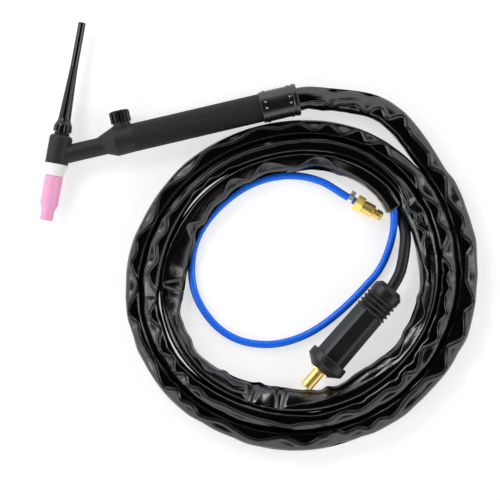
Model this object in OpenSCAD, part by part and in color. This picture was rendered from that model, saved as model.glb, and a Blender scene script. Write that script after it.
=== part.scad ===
// Gas-shielded welding torch with its sheathed leads, laid flat as it is stored.
// X runs along the handle from the head towards the leads, Z is up, and Z = 0 is the bench.

/* [Head] */
// Angle between the handle and the head's axis, in degrees
head_angle = 66.5; // [60:0.5:75]
// Outer radius of the head's moulded barrel
head_r = 12.1; // [11.5:0.1:14]
// Height of the barrel above the point where the two axes cross
head_above = 21.5; // [19:0.5:26]
// Depth of the barrel below that point
head_below = 9.3; // [9:0.1:12]
// Radius of the barrel's rounded upper edge
head_round = 4; // [1:0.5:5]
// Outer radius of the brass head body
body_r = 7; // [6.6:0.1:8]
// Bore radius of the brass head body
body_bore = 5; // [4.6:0.1:5.4]

/* [Neck] */
// Radius of the moulded neck
neck_r = 9.6; // [9.2:0.1:10.6]
// How far the neck's axis sits to the nozzle side of the handle's axis
neck_drop = 1.2; // [0:0.1:2]
// Where the neck begins to swell, from the head's axis
neck_len = 46; // [40:1:48]
// Length of the swelling between the neck and the valve housing
swell_len = 16; // [10:1:18]
// Radius of the valve housing at its widest
housing_r = 15.4; // [15:0.1:17]
// Outer radius of the copper neck tube
neck_tube_r = 4; // [3.4:0.1:4.4]
// Bore radius of the copper neck tube
neck_tube_bore = 2.5; // [1.5:0.1:2.8]
// Length of the blank oval panel on the neck
panel_len = 19; // [12:1:20]
// Width of the blank oval panel on the neck
panel_w = 5.6; // [4:0.2:7]
// Depth of the line round the blank panel
panel_line_d = 0.4; // [0.2:0.1:0.6]

/* [Valve] */
// Distance from the head's axis to the valve's axis
valve_x = 72.5; // [70:0.5:74]
// Height of the valve boss above the handle's axis
boss_h = 17.4; // [16.5:0.1:20]
// Radius of the valve boss
boss_r = 9.2; // [8.4:0.1:9.8]
// Radius of the brass valve block
block_r = 8.4; // [7.8:0.1:8.6]
// Radius of the brass bonnet that holds the stem
bonnet_r = 6.6; // [5.6:0.1:7]
// Radius of the valve stem
stem_r = 2.5; // [2.3:0.1:3]
// Outer radius of the fluted knob
knob_r = 10.8; // [9:0.1:12]
// Height of the knob
knob_h = 12.8; // [10:0.2:15]
// Number of flutes in the knob
knob_flutes = 14; // [8:1:18]
// Radius of one flute in the knob
knob_flute_r = 1.5; // [0.8:0.1:1.8]

/* [Nozzle end] */
// Length of the white insulator that shows between the head and the nozzle
gasket_len = 12.6; // [10:0.1:15]
// Length of the ceramic nozzle
nozzle_len = 47.5; // [38:0.5:60]
// Outer radius of the nozzle's body
nozzle_r = 9.5; // [8.8:0.1:11]
// Outer radius of the nozzle's tip
nozzle_tip_r = 6.7; // [6.4:0.1:8]
// Length of the nozzle's straight tip
nozzle_tip_len = 11.5; // [8:0.5:14]
// Radius of the gas opening at the nozzle's tip
nozzle_bore = 4.75; // [3.2:0.05:5.5]
// Radius of the collet body's outer thread
thread_r = 6.25; // [5.8:0.05:6.6]
// Radius of the electrode that the collet grips
electrode_r = 1.2; // [0.8:0.1:1.6]
// Wall of the collet
collet_wall = 0.75; // [0.6:0.05:0.9]

/* [Back cap] */
// Length of the cap above its flared skirt's lower edge
cap_len = 117; // [60:1:140]
// Radius of the flared skirt
skirt_r = 9.6; // [9:0.1:11]
// Height of the flared skirt
skirt_h = 14; // [10:1:18]
// Radius of the cap just above the skirt
cap_base_r = 6.6; // [6.2:0.1:7.5]
// Radius of the cap's slim upper half
cap_tip_r = 4; // [3.6:0.1:5]
// Radius of one scallop cut into the flared skirt
scallop_r = 3.4; // [2:0.1:4]
// Number of flutes on the cap
cap_flutes = 8; // [6:1:10]
// Radius of one flute on the cap
cap_flute_r = 1.3; // [0.8:0.1:1.6]

/* [Handle] */
// Distance from the head's axis to the front of the handle
handle_x = 82; // [82:0.5:90]
// Outer radius of the handle tube
handle_r = 14.8; // [14.2:0.1:16]
// Bore radius of the handle tube
handle_bore = 12.4; // [12.2:0.1:13]
// Length of the handle tube
handle_len = 154; // [130:1:190]
// Length of the collar that clamps the sheath to the handle
collar_len = 40; // [34:1:50]
// How much of the collar goes over the handle
collar_lap = 17.3; // [14:0.1:20]
// Wall of the collar
collar_wall = 1.4; // [1:0.1:1.6]
// Height of the bands and of the end bead above the collar
band_h = 0.8; // [0.6:0.1:1.2]
// Width of one clamp band
band_w = 3.2; // [2.4:0.1:4]

/* [Leads] */
// Radius of the sheath where it is round
sheath_r = 12; // [11.9:0.1:12.1]
// Wall of the sheath
sheath_wall = 1; // [0.8:0.1:1.1]
// Radius of the power cable
cable_r = 6; // [5:0.1:6.1]
// Radius of the gas hose
hose_r = 4; // [3.4:0.1:4.1]
// Least clearance planned between one turn of the sheath and the next
turn_gap = 1.2; // [1:0.1:2]

/* [Power plug] */
// Radius of the plug's brass pin
pin_r = 6.5; // [4.5:0.1:7]
// Length of the pin ahead of its flange
pin_len = 22.4; // [18:0.2:28]
// Radius of the grip's front collar
grip_collar_r = 21.8; // [19:0.1:23]
// Half-width of the grip where it leaves the collar
grip_front_r = 16; // [15:0.1:18.5]
// Half-width of the grip where it meets the ribs
grip_rear_r = 15.2; // [13.5:0.1:16]
// Length of the tapered grip
grip_len = 61.7; // [50:0.5:70]
// Radius over the ribs
rib_r = 17.8; // [16.8:0.1:19]
// Number of ribs
rib_count = 4; // [3:1:5]
// Length of the plain tail behind the ribs
tail_len = 14.5; // [12:0.5:20]

/* [Gas fitting] */
// Outer radius of the gas nut's thread
gas_thread_r = 7; // [6.4:0.1:8]
// Length of the gas nut's thread
gas_thread_len = 13.4; // [10:0.2:16]
// Width of the gas nut's hexagon across its flats
gas_hex_af = 17; // [15:0.5:19]
// Length of the gas nut's hexagon
gas_hex_len = 8; // [6:0.2:10]
// Radius of the nipple's sealing nose
nose_r = 5.3; // [4.8:0.1:5.8]

/* [Hidden] */

// Clearances: pieces fixed together, pieces that turn, and faces that stand apart.
fixed_gap = 0.02;
turn_fit = 0.05;
face_gap = 0.05;
seat_gap = 0.3;
eps = 0.01;
round_fn = 64;

// Heights along the head's axis, from the crossing of the two axes.
gasket_top = -head_below - face_gap;
nozzle_top = gasket_top - gasket_len;
nozzle_tip = nozzle_top - nozzle_len;
body_top = head_above - 1.2;
skirt_z = head_above + 3;
insert_z = head_above - 8.5;
cap_tip = skirt_z + cap_len;
cap_flute_top = skirt_z + 0.6 * cap_len;
neck_cap_r = 5.9;
insert_r = 4.6;

// The collar is the thickest ring that lies on the bench, and it sets the axis height.
collar_r = handle_r + turn_fit + collar_wall;
bead_r = collar_r + band_h;
axis_z = bead_r;
handle_end = handle_x + handle_len;
collar_x = handle_end - collar_lap;
collar_end = collar_x + collar_len;

// Middle of the torch's own outline, so that the origin is under it.
head_dir = [cos(head_angle), sin(head_angle)];
tip_bevel = 0.6;
cap_round = 1;
box_low = [(nozzle_tip + tip_bevel) * head_dir[0] - nozzle_tip_r * head_dir[1],
    nozzle_tip * head_dir[1] - (nozzle_tip_r - tip_bevel) * head_dir[0]];
box_high = [collar_end, (cap_tip - cap_round) * head_dir[1] + (cap_tip_r - cap_round) * head_dir[0] + cap_round];
mid = (box_low + box_high) / 2;

module in_place() translate([-mid[0], -mid[1], axis_z]) children();
module along_head() rotate([0, 90, head_angle]) children();
module along_handle(x = 0) translate([x, 0, 0]) rotate([0, 90, 0]) children();
module along_valve(h = 0) translate([valve_x, h, 0]) rotate([-90, 0, 0]) children();

// A round tube from z = low to z = high.
module pipe(outer, bore, low, high) {
    translate([0, 0, low]) difference() {
        cylinder(r = outer, h = high - low, $fn = round_fn);
        translate([0, 0, -1]) cylinder(r = bore, h = high - low + 2, $fn = round_fn);
    }
}
module rod(r, low, high) translate([0, 0, low]) cylinder(r = r, h = high - low, $fn = round_fn);
module turned(points) rotate_extrude($fn = round_fn) polygon(points);
module torus(centre_r, r, z) {
    rotate_extrude($fn = round_fn) translate([centre_r, z]) circle(r = r, $fn = 24);
}
module hexagon(af, low, high) {
    translate([0, 0, low]) cylinder(r = af / 2 / cos(30), h = high - low, $fn = 6);
}
function arc(c, r, from, to, steps) =
    [for (i = [0:steps]) let(a = from + (to - from) * i / steps) c + r * [cos(a), sin(a)]];

// ---- Head and neck ----

// The hard rubber moulding: barrel, neck, valve housing and the spigot that carries the handle.
spigot_len = 14;
spigot_r = handle_bore - turn_fit;
housing_x = neck_len + swell_len;
block_x = housing_x + 1;
block_end = handle_x - 1;
block_cavity_r = block_r + fixed_gap;

module stadium(len, w, h) {
    union() {
        translate([-(len - w) / 2, -w / 2, 0]) cube([len - w, w, h]);
        for (side = [-1, 1]) translate([side * (len - w) / 2, 0, 0]) {
            cylinder(r = w / 2, h = h, $fn = round_fn);
        }
    }
}

module head_insulation() color("#202123") in_place() difference() {
    union() {
        along_head() turned(concat([[0, -head_below], [head_r, -head_below]],
            arc([head_r - head_round, head_above - head_round], head_round, 0, 90, 8),
            [[0, head_above]]));
        translate([0, -neck_drop, 0]) along_handle() rod(neck_r, 0, neck_len + swell_len / 2);
        along_handle() turned([[0, neck_len], [neck_r - neck_drop, neck_len],
            [housing_r, housing_x], [handle_r, handle_x - face_gap],
            [spigot_r, handle_x - face_gap], [spigot_r, handle_x + spigot_len],
            [0, handle_x + spigot_len]]);
        along_valve() rod(boss_r, 0, boss_h);
        hull() {
            translate([neck_len - 2, neck_r - neck_drop - 3, 0]) rotate([0, 90, 0]) cylinder(r = 3, h = 1, $fn = 24);
            along_valve(boss_h - 4) cylinder(r = boss_r - 0.1, h = 3, $fn = 32);
            along_valve(2) cylinder(r = boss_r - 0.1, h = 1, $fn = 32);
        }
    }
    along_head() rod(body_r + fixed_gap, -head_below - 1, head_above + 1);
    along_handle() rod(neck_tube_r + fixed_gap, 0, block_x + 1);
    along_handle() rod(block_cavity_r, block_x, handle_x + spigot_len + 1);
    along_valve() rod(bonnet_r + fixed_gap, 0, boss_h + 1);
    translate([panel_len * 1.5, -neck_drop, neck_r - panel_line_d]) difference() {
        stadium(panel_len, panel_w, neck_r);
        translate([0, 0, -1]) stadium(panel_len - 1.2, panel_w - 1.2, neck_r + 2);
    }
}

// The neck tube starts just outside the head body's bore, whose wall it enters at an angle.
tube_x = (body_bore + turn_fit + (neck_tube_r + fixed_gap) * head_dir[0]) / head_dir[1];
tube_end = block_x + 4;

module head_body() color("#b08d3c") in_place() difference() {
    along_head() pipe(body_r, body_bore, -head_below, body_top);
    along_handle() rod(neck_tube_r + fixed_gap, 0, 2 * body_r);
}

module neck_tube() color("#b5663c") in_place() along_handle() {
    pipe(neck_tube_r, neck_tube_bore, tube_x, tube_end);
}

// ---- Nozzle end ----

shoulder_r = body_r - 0.1;
gasket_bore = shoulder_r + face_gap;
collet_r = electrode_r + collet_wall;
collet_body_bore = collet_r + 0.25;
collet_body_top = -neck_tube_r - 1.2;
collet_tip = nozzle_top - 17;
tip_cone = 1.8;

module cup_gasket() color("#f4f4f0") in_place() along_head() turned([
    [gasket_bore, gasket_top], [head_r - 0.1, gasket_top], [head_r - 0.1, gasket_top - 1.8],
    [nozzle_r + 0.3, gasket_top - gasket_len + face_gap], [gasket_bore, gasket_top - gasket_len + face_gap]]);

module collet_body() color("#b08d3c") in_place() along_head() difference() {
    turned([[collet_body_bore, collet_body_top], [body_bore - turn_fit, collet_body_top],
        [body_bore - turn_fit, -head_below - face_gap], [shoulder_r, -head_below - face_gap],
        [shoulder_r, nozzle_top + face_gap], [thread_r, nozzle_top + face_gap],
        [thread_r, nozzle_top - 11], [4.3, nozzle_top - 12], [4.3, collet_tip + tip_cone],
        [3, collet_tip], [electrode_r + 0.1, collet_tip],
        [collet_body_bore, collet_tip + tip_cone]]);
    for (turn = [0, 90]) translate([0, 0, collet_tip + 4]) rotate([90, 0, turn]) {
        cylinder(r = 0.8, h = 12, center = true, $fn = 24);
    }
}

// The collet's split jaws rest on the cone inside the collet body.
jaw_z = collet_tip + 0.6;
collet_top = insert_z - face_gap;
slit_len = 20;

module collet() color("#c98a4b") in_place() along_head() difference() {
    turned([[electrode_r, jaw_z], [electrode_r + 0.15, jaw_z], [collet_r, jaw_z + tip_cone - 0.2],
        [collet_r, collet_top], [electrode_r, collet_top]]);
    for (turn = [0, 90]) rotate([0, 0, turn]) {
        translate([-collet_r - 1, -0.2, jaw_z - 1]) cube([2 * collet_r + 2, 0.4, slit_len + 1]);
    }
}

nozzle_seat_len = 18;
nozzle_shoulder = nozzle_tip + nozzle_tip_len;

module ceramic_nozzle() color("#ef9cc6") in_place() along_head() turned([
    [thread_r + turn_fit, nozzle_top], [nozzle_r - 0.8, nozzle_top], [nozzle_r, nozzle_top - 0.8],
    [nozzle_r, nozzle_shoulder + 6.5], [nozzle_r - 0.7, nozzle_shoulder + 4],
    [nozzle_tip_r + 0.5, nozzle_shoulder], [nozzle_tip_r, nozzle_shoulder - 1.5],
    [nozzle_tip_r, nozzle_tip + tip_bevel], [nozzle_tip_r - tip_bevel, nozzle_tip],
    [nozzle_bore + 0.2, nozzle_tip], [nozzle_bore, nozzle_tip + 0.3],
    [nozzle_bore, nozzle_top - nozzle_seat_len - 4],
    [thread_r + turn_fit, nozzle_top - nozzle_seat_len]]);

// ---- Back cap ----

cap_bore_r = electrode_r + 0.5;
cap_half = skirt_z + 0.58 * cap_len;

module back_cap() color("#1c1c1f") in_place() along_head() difference() {
    turned(concat([[0, head_above + seat_gap], [neck_cap_r, head_above + seat_gap],
        [neck_cap_r, skirt_z], [skirt_r - 0.6, skirt_z], [skirt_r, skirt_z + 0.6],
        [skirt_r, skirt_z + 0.4 * skirt_h], [skirt_r - 0.5, skirt_z + 0.55 * skirt_h],
        [cap_base_r + 0.6, skirt_z + 0.85 * skirt_h], [cap_base_r, skirt_z + skirt_h],
        [(cap_base_r + cap_tip_r) / 2, (skirt_z + skirt_h + cap_half) / 2],
        [cap_tip_r + 0.1, cap_half]],
        arc([cap_tip_r - cap_round, cap_tip - cap_round], cap_round, 0, 90, 5), [[0, cap_tip]]));
    rod(insert_r + fixed_gap, head_above - 1, skirt_z + skirt_h);
    rod(cap_bore_r, skirt_z, cap_tip - 4);
    for (i = [0:cap_flutes - 1]) rotate([0, 0, 360 / cap_flutes * (i + 0.5)]) {
        translate([cap_base_r + 0.7, 0, skirt_z + skirt_h]) {
            rotate([0, -atan((cap_base_r - cap_tip_r) / (cap_half - skirt_z - skirt_h)), 0]) {
                cylinder(r = cap_flute_r, h = cap_flute_top - skirt_z - skirt_h, $fn = 24);
            }
        }
        translate([skirt_r + scallop_r - 1, 0, skirt_z - 1]) {
            cylinder(r = scallop_r, h = 0.55 * skirt_h, $fn = 32);
            translate([0, 0, 0.55 * skirt_h]) sphere(r = scallop_r, $fn = 32);
        }
    }
}

// The brass insert is moulded into the cap and its lower end screws into the head body.
module cap_insert() color("#b08d3c") in_place() along_head() turned([
    [cap_bore_r, insert_z], [body_bore - turn_fit, insert_z],
    [body_bore - turn_fit, head_above], [insert_r, head_above],
    [insert_r, skirt_z + skirt_h - face_gap], [cap_bore_r, skirt_z + skirt_h - face_gap]]);

oring_r = 1.15;
module cap_oring() color("#151515") in_place() along_head() {
    torus(neck_cap_r + face_gap + oring_r, oring_r, head_above + seat_gap + oring_r);
}

// ---- Valve ----

needle_tip = 0.6;
stem_bore = stem_r + 0.9;
groove_z = boss_h - 4;
groove_w = 1.2;
knob_z = boss_h + 0.6;
stem_top = knob_z + knob_h - 3;
gas_bore = 2.5;

module valve_block() color("#b08d3c") in_place() difference() {
    along_handle() rod(block_r, block_x, block_end);
    along_handle() rod(neck_tube_r + fixed_gap, block_x - 1, tube_end + eps);
    along_handle() rod(gas_bore, tube_end - 1, block_end + 1);
    along_valve() rod(stem_bore, 0, block_r + 1);
}

module valve_bonnet() color("#b08d3c") in_place() along_valve() {
    pipe(bonnet_r, stem_r + turn_fit, block_r + face_gap, boss_h);
}

module valve_stem() color("#c9a24a") in_place() along_valve() turned([
    [0, needle_tip], [0.5, needle_tip], [stem_r, needle_tip + 3.5],
    [stem_r, groove_z - groove_w / 2], [stem_r - 0.95, groove_z - groove_w / 2],
    [stem_r - 0.95, groove_z + groove_w / 2], [stem_r, groove_z + groove_w / 2],
    [stem_r, stem_top], [0, stem_top]]);

module stem_oring() color("#151515") in_place() along_valve() {
    torus(stem_r - 0.48, 0.44, groove_z);
}

module valve_knob() color("#1c1c1f") in_place() along_valve() difference() {
    turned(concat([[0, knob_z], [knob_r - 0.8, knob_z], [knob_r, knob_z + 0.8]],
        arc([knob_r - 2, knob_z + knob_h - 2], 2, 0, 90, 6), [[0, knob_z + knob_h]]));
    rod(stem_r + fixed_gap, knob_z - 1, stem_top + eps);
    for (i = [0:knob_flutes - 1]) rotate([0, 0, 360 / knob_flutes * i]) {
        translate([knob_r + 0.4, 0, knob_z - 1]) {
            cylinder(r = knob_flute_r, h = knob_h + 2, $fn = 24);
        }
    }
}

// ---- Inside the handle: where the two leads are joined to the torch ----

// The cable lies below the hose, side by side, all the way to the sheath's mouth.
cable_low = -3.8;
hose_high = 6.6;
stub_x = handle_x + spigot_len + 1;
lug_x = stub_x + 15;
cable_x = lug_x + 22;
hose_x = stub_x + 13;
barb_r = 2;
stud_r = 3.4;
nut_af = 11;

module tail_adapter() color("#b08d3c") in_place() difference() {
    union() {
        along_handle() rod(block_r, block_end + face_gap, stub_x);
        translate([0, 0, cable_low]) along_handle() rod(stud_r, stub_x - 1, lug_x - face_gap);
        translate([0, 0, hose_high]) along_handle() rod(barb_r, stub_x - 0.5, hose_x);
    }
    along_handle() rod(gas_bore, block_end - 1, stub_x - 3);
    translate([0, 0, hose_high]) along_handle() rod(barb_r - 0.7, stub_x - 5, hose_x + 1);
    translate([0, 0, 0]) along_handle() translate([-hose_high, 0, 0]) rod(1.2, stub_x - 5, stub_x - 4);
    translate([stub_x - 5, 0, 0]) cylinder(r = barb_r - 0.7, h = hose_high, $fn = round_fn);
}

module cable_nut() color("#b08d3c") in_place() translate([0, 0, cable_low]) along_handle() {
    difference() {
        hexagon(nut_af, stub_x + 1, stub_x + 9);
        rod(stud_r + fixed_gap, stub_x, stub_x + 10);
    }
}

module cable_lug() color("#b5663c") in_place() translate([0, 0, cable_low]) along_handle() {
    difference() {
        rod(cable_r - 0.4, lug_x, cable_x);
        rod(cable_r - 1.6, lug_x + 8, cable_x + 1);
    }
}

module inner_hose_clamp() color("#c4c6c8") in_place() translate([0, 0, hose_high]) along_handle() {
    pipe(hose_r + 0.65, hose_r + fixed_gap, hose_x + 2, hose_x + 8);
}

// ---- Handle and collar ----

module handle() color("#26272a") in_place() along_handle() {
    pipe(handle_r, handle_bore, handle_x, handle_end);
}

bead_w = 4.5;
module handle_collar() color("#17171a") in_place() along_handle() turned(concat([
    [handle_r + turn_fit, collar_x], [collar_r - 0.5, collar_x], [collar_r, collar_x + 0.5],
    [collar_r, collar_end - bead_w - 1.2], [bead_r, collar_end - bead_w]],
    arc([bead_r - 1.5, collar_end - 1.5], 1.5, 0, 90, 5),
    [[sheath_r + face_gap, collar_end], [sheath_r + face_gap, handle_end + face_gap],
    [handle_r + turn_fit, handle_end + face_gap]]));

band_x = [collar_x + 4, collar_end - bead_w - 2.5 - band_w];
ear_w = 5;
ear_h = 1;
clip_w = 1.5;

module clamp_band(x) color("#141416") in_place() {
    along_handle() pipe(bead_r - 0.1, collar_r + fixed_gap, x, x + band_w);
    translate([x, -ear_w / 2, collar_r + band_h / 2]) cube([band_w, ear_w, ear_h]);
}
module front_band() clamp_band(band_x[0]);
module rear_band() clamp_band(band_x[1]);

// The bright crimped ends on both sides of each band's ear.
module band_clips() color("#d8dadc") in_place() {
    for (x = band_x, side = [-1, 1]) {
        translate([x + 0.3, side * (ear_w + clip_w + 0.1) / 2 - clip_w / 2, bead_r + 0.05]) {
            cube([band_w - 0.6, clip_w, 0.7]);
        }
    }
}

// ---- Sheath coil ----

// The sheath lies in three turns and a bit. Angles run clockwise from +Y about coil_centre.
coil_centre = [213.8, -182.3];
coil_from = 75;
coil_to = 1140;
coil_step = 15;
// Radius after t turns: it closes in quickly at first, then by one sheath a turn.
coil_r0 = 190.7;
coil_drop = [34.5, 8.25, 1.257];
// The coil is a little oval and a little three-sided: size and direction of each.
oval = [4.64, 73.7];
lobe = [1.67, 32.5];
// The inner turns are pressed in where they pass the collar, and the first turn a little further on.
press = [3.6, 12, 30];
dent = [4.6, 80, 22];
// The last turn spreads where nothing lies inside it: [how much, where, over what angle].
spreads = [[1.6, 870, 18], [1.6, 936, 18], [3.4, 1012, 32], [0.8, 960, 60]];
// First stretch, from the collar to where the coil's formula takes over.
first_bend = [[272, -1.7], [294, -8.8], [315, -16], [331, -22.9], [343.5, -32.2], [354.5, -45.6],
    [363.5, -61.8], [371.3, -79.5], [378.2, -97.8], [384.6, -116.5]];

function spiral_r(t) = coil_r0 - coil_drop[0] * t + coil_drop[1] * pow(t, 2) - coil_drop[2] * pow(t, 3);
function past_collar(a) = let(d = a % 360 - press[1]) a < 180 ? 0 : exp(-pow((d > 180 ? d - 360 : d) / press[2], 2));
function spread(a, i = 0) = i == len(spreads) ? 0
    : spreads[i][0] * exp(-pow((a - spreads[i][1]) / spreads[i][2], 2)) + spread(a, i + 1);
function coil_radius(a) = spiral_r(a / 360) + oval[0] * cos(2 * (a - oval[1]))
    + lobe[0] * cos(3 * (a - lobe[1])) - press[0] * past_collar(a)
    - dent[0] * exp(-pow((a - dent[1]) / dent[2], 2)) - spread(a);

// Distance from one turn to the next, and the sheath's half-width and half-height beside it.
function pitch(a) = let(t = min(a / 360, coil_to / 360 - 1)) spiral_r(t) - spiral_r(t + 1);
function half_w(a) = min(sheath_r, (pitch(a) - turn_gap) / 2 + spread(a));
function half_h(a) = sqrt(2 * pow(sheath_r - 0.4, 2) - pow(min(half_w(a), sheath_r - 0.4), 2));
function settle(a) = let(u = min(1, max(0, (a - 14) / 60))) u * u * (3 - 2 * u);
function coil_point(a) = let(r = coil_radius(a)) [coil_centre[0] + r * sin(a), coil_centre[1] + r * cos(a),
    (half_h(a) + 0.2 - axis_z) * settle(a)];

// Stations along the sheath: [centre, half-width, half-height].
mouth_turn = -68;
mouth_reach = 17.5;
mouth_half = [9.8, 13.2];
coil_last = coil_point(coil_to);
mouth = [coil_last[0] + mouth_reach * cos(mouth_turn), coil_last[1] + mouth_reach * sin(mouth_turn),
    mouth_half[1] + 0.2 - axis_z];
sheath_in = handle_end + face_gap;
function turn_of(p) = atan2(p[0] - coil_centre[0], p[1] - coil_centre[1]);
function bend_h(p) = sheath_r - 0.4 * settle(turn_of(p));
stations = concat(
    [[[sheath_in, 0, 0], sheath_r, sheath_r], [[collar_end + 3, 0, 0], sheath_r, sheath_r]],
    [for (p = first_bend) [[p[0], p[1], (bend_h(p) + 0.2 - axis_z) * settle(turn_of(p))], sheath_r, bend_h(p)]],
    [for (a = [coil_from:coil_step:coil_to]) [coil_point(a), half_w(a), half_h(a)]],
    [[mouth, mouth_half[0], mouth_half[1]]]);
centres = [for (s = stations) s[0]];

function unit(v) = v / norm(v);
function heading(p, i) = unit(p[min(i + 1, len(p) - 1)] - p[max(i - 1, 0)]);
function across(t) = unit(cross(t, [0, 0, 1]));
function ring(c, t, w, h, n, turn = 0) = let(s = across(t), u = cross(s, t))
    [for (k = [0:n - 1]) let(a = 360 * k / n + turn) c + w * cos(a) * s + h * sin(a) * u];

// Faces of a closed tube of m rings with n sides, and the same turned inside out for a bore.
function skin(m, n, first = 0, inward = false) = [for (i = [0:m - 2], k = [0:n - 1], half = [0, 1])
    let(a = first + i * n + k, b = first + i * n + (k + 1) % n,
        tri = half == 0 ? [a, b, b + n] : [a, b + n, a + n])
    inward ? [tri[2], tri[1], tri[0]] : tri];
function lid(first, n, far) = [for (k = [1:n - 2]) far ? [first, first + k, first + k + 1] :
    [first, first + k + 1, first + k]];
function rim(outer, inner, n, far) = [for (k = [0:n - 1], half = [0, 1]) let(j = (k + 1) % n,
    tri = half == 0 ? [outer + k, inner + k, inner + j] : [outer + k, inner + j, outer + j])
    far ? [tri[2], tri[1], tri[0]] : tri];

module solid_tube(rings, n) {
    m = len(rings);
    polyhedron([for (r = rings, p = r) p],
        concat(skin(m, n), lid(0, n, false), lid((m - 1) * n, n, true)), convexity = 20);
}
module hollow_tube(outer, inner, n) {
    m = len(outer);
    far = (m - 1) * n;
    polyhedron([for (r = concat(outer, inner), p = r) p],
        concat(skin(m, n), skin(m, n, m * n, true), rim(0, m * n, n, false),
            rim(far, m * n + far, n, true)), convexity = 20);
}

sheath_sides = 8;
sheath_rings = [for (i = [0:len(stations) - 1]) let(s = stations[i])
    ring(s[0], heading(centres, i), s[1], s[2], sheath_sides)];
bore_rings = [for (i = [0:len(stations) - 1]) let(s = stations[i])
    ring(s[0], heading(centres, i), s[1] - sheath_wall, s[2] - sheath_wall, sheath_sides)];

// Least gap of the sheath to its own next turn, between the corners of facing rings.
loop_rings = 360 / coil_step;
coil_first = 2 + len(first_bend);
least_gap = min(concat([for (i = [coil_first:len(stations) - 2 - loop_rings], p = sheath_rings[i],
    q = sheath_rings[i + loop_rings]) norm(p - q)],
    [for (i = [2:coil_first - 1], j = [coil_first + 18:coil_first + 24], p = sheath_rings[i],
    q = sheath_rings[j]) norm(p - q)],
    [for (i = [-loop_rings - 2:-loop_rings + 2], p = sheath_rings[len(stations) - 1],
    q = sheath_rings[len(stations) - 1 + i]) norm(p - q)]));
echo(least_gap_of_the_sheath_to_itself_mm = least_gap);

module sheath() color("#1a1a1d") in_place() hollow_tube(sheath_rings, bore_rings, sheath_sides);

// ---- Leads ----

// How far a lead lies above the sheath's centre, where it is round and where it is pressed narrow.
round_cable_low = -3.8;
round_hose_high = 6;
flat_cable_low = -3;
flat_hose_high = 7.2;
function roundness(s) = (s[1] - half_w(coil_to)) / (sheath_r - half_w(coil_to));
function in_sheath(low, flat_low) = [for (i = [0:len(stations) - 2]) let(s = stations[i])
    s[0] + [0, 0, flat_low + (low - flat_low) * min(1, max(0, roundness(s)))]];
// In the mouth the two leads part sideways, the hose towards the coil's inside.
function in_mouth(side, up) = mouth + [side * sin(mouth_turn), -side * cos(mouth_turn), up];

// Free stretch of the power cable, from the sheath's mouth to the plug.
cable_free = [[335.2, -140.4, 9.1], [336.8, -148.1, 10], [337.3, -155.9, 11.6], [336.4, -163.6, 13.7],
    [334.5, -171, 16], [330.4, -181.9, 18.9], [325.6, -192.8, 20.8], [319.6, -203.2, 21.8]];
// Free loop of the gas hose, from the sheath's mouth round to its fitting.
hose_free = [[328.8, -141.5, 17.8], [327.5, -149, 15.4], [325.6, -156, 12.3], [323, -162.9, 9.2],
    [319.7, -169.8, 6.7], [315.9, -176.6, 5.1], [311.5, -183.2, 4.4], [306.5, -189.5, 4.2],
    [298.2, -197.7, 4.2], [286.7, -205.8, 4.2],
    [277, -212.4, 4.2], [264.8, -220.2, 4.2], [250.5, -228.2, 4.2], [233, -236.4, 4.2], [214, -242.8, 4.2],
    [193.5, -246, 4.2], [174, -245.2, 4.2], [157, -240.8, 4.2], [142.8, -234.2, 4.2], [131.6, -225.8, 4.2],
    [122, -215, 4.2], [114.8, -202.4, 4.2], [109.5, -188.7, 4.2], [106.6, -174, 4.2], [106.9, -159, 4.2],
    [109.9, -144.3, 4.2], [115, -130.2, 4.2], [122.5, -117.4, 4.2], [132.2, -106.4, 4.2], [143.2, -97.2, 4.2],
    [155.1, -89.4, 4.2], [167.9, -82.9, 4.2], [180.8, -78, 4.2], [193.9, -74.8, 4.2], [207.3, -73.4, 4.3],
    [221, -73.8, 4.5], [234, -76, 5], [246.2, -80, 6], [257.6, -85.8, 7.4], [268, -93.2, 8.9]];

function on_bench(points) = [for (p = points) [p[0], p[1], p[2] - axis_z]];

plug_tip = [197.4, -295.6];
plug_angle = 35.9;
plug_z = grip_collar_r + 0.2 - axis_z;
fit_tip = [317, -140.5];
fit_angle = 136.5;
fit_z = gas_hex_af / 2 / cos(30) + 0.2 - axis_z;
function from_plug(u) = [plug_tip[0] + u * cos(plug_angle), plug_tip[1] + u * sin(plug_angle), plug_z];
function from_nose(u) = [fit_tip[0] + u * cos(fit_angle), fit_tip[1] + u * sin(fit_angle), fit_z];

// Plug lengths from the pin's tip, and fitting lengths from the nose's tip.
flange_end = pin_len + 2;
cone_len = 7;
collar_u = flange_end - 1 + cone_len;
body_u = collar_u + 9.8;
ribs_u = body_u + grip_len;
rib_pitch = 5.2;
tail_u = ribs_u + rib_count * rib_pitch;
plug_len = tail_u + tail_len;
shank_end = flange_end + 36;
cable_end = shank_end + 2;
nose_len = 10;
thread_end = nose_len + 0.6 + gas_thread_len;
hex_end = thread_end + gas_hex_len;
hose_end = hex_end + 0.8;

cable_route = concat([[cable_x + face_gap, 0, cable_low], [cable_x + 12, 0, cable_low]],
    in_sheath(round_cable_low, flat_cable_low), [in_mouth(-1.1, -4.3)],
    on_bench(cable_free), [for (u = [plug_len, cable_end]) from_plug(u)]);
hose_route = concat([[hose_x + face_gap, 0, hose_high], [hose_x + 12, 0, hose_high]],
    in_sheath(round_hose_high, flat_hose_high), [in_mouth(2.2, 5.6)],
    on_bench(hose_free), [for (u = [hose_end + 15, hose_end + 8, hose_end]) from_nose(u)]);

lead_sides = 8;
module lead(route, r) {
    solid_tube([for (i = [0:len(route) - 1]) ring(route[i], heading(route, i), r, r, lead_sides, 180 / lead_sides)],
        lead_sides);
}
module power_cable() color("#1f2022") in_place() lead(cable_route, cable_r);
module gas_hose() color("#1f6fe0") in_place() lead(hose_route, hose_r);

// ---- Power plug ----

module at_plug() translate([plug_tip[0], plug_tip[1], plug_z]) rotate([0, 90, plug_angle]) children();
shank_r = 9;
core_r = cable_r - 1.2;

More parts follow.
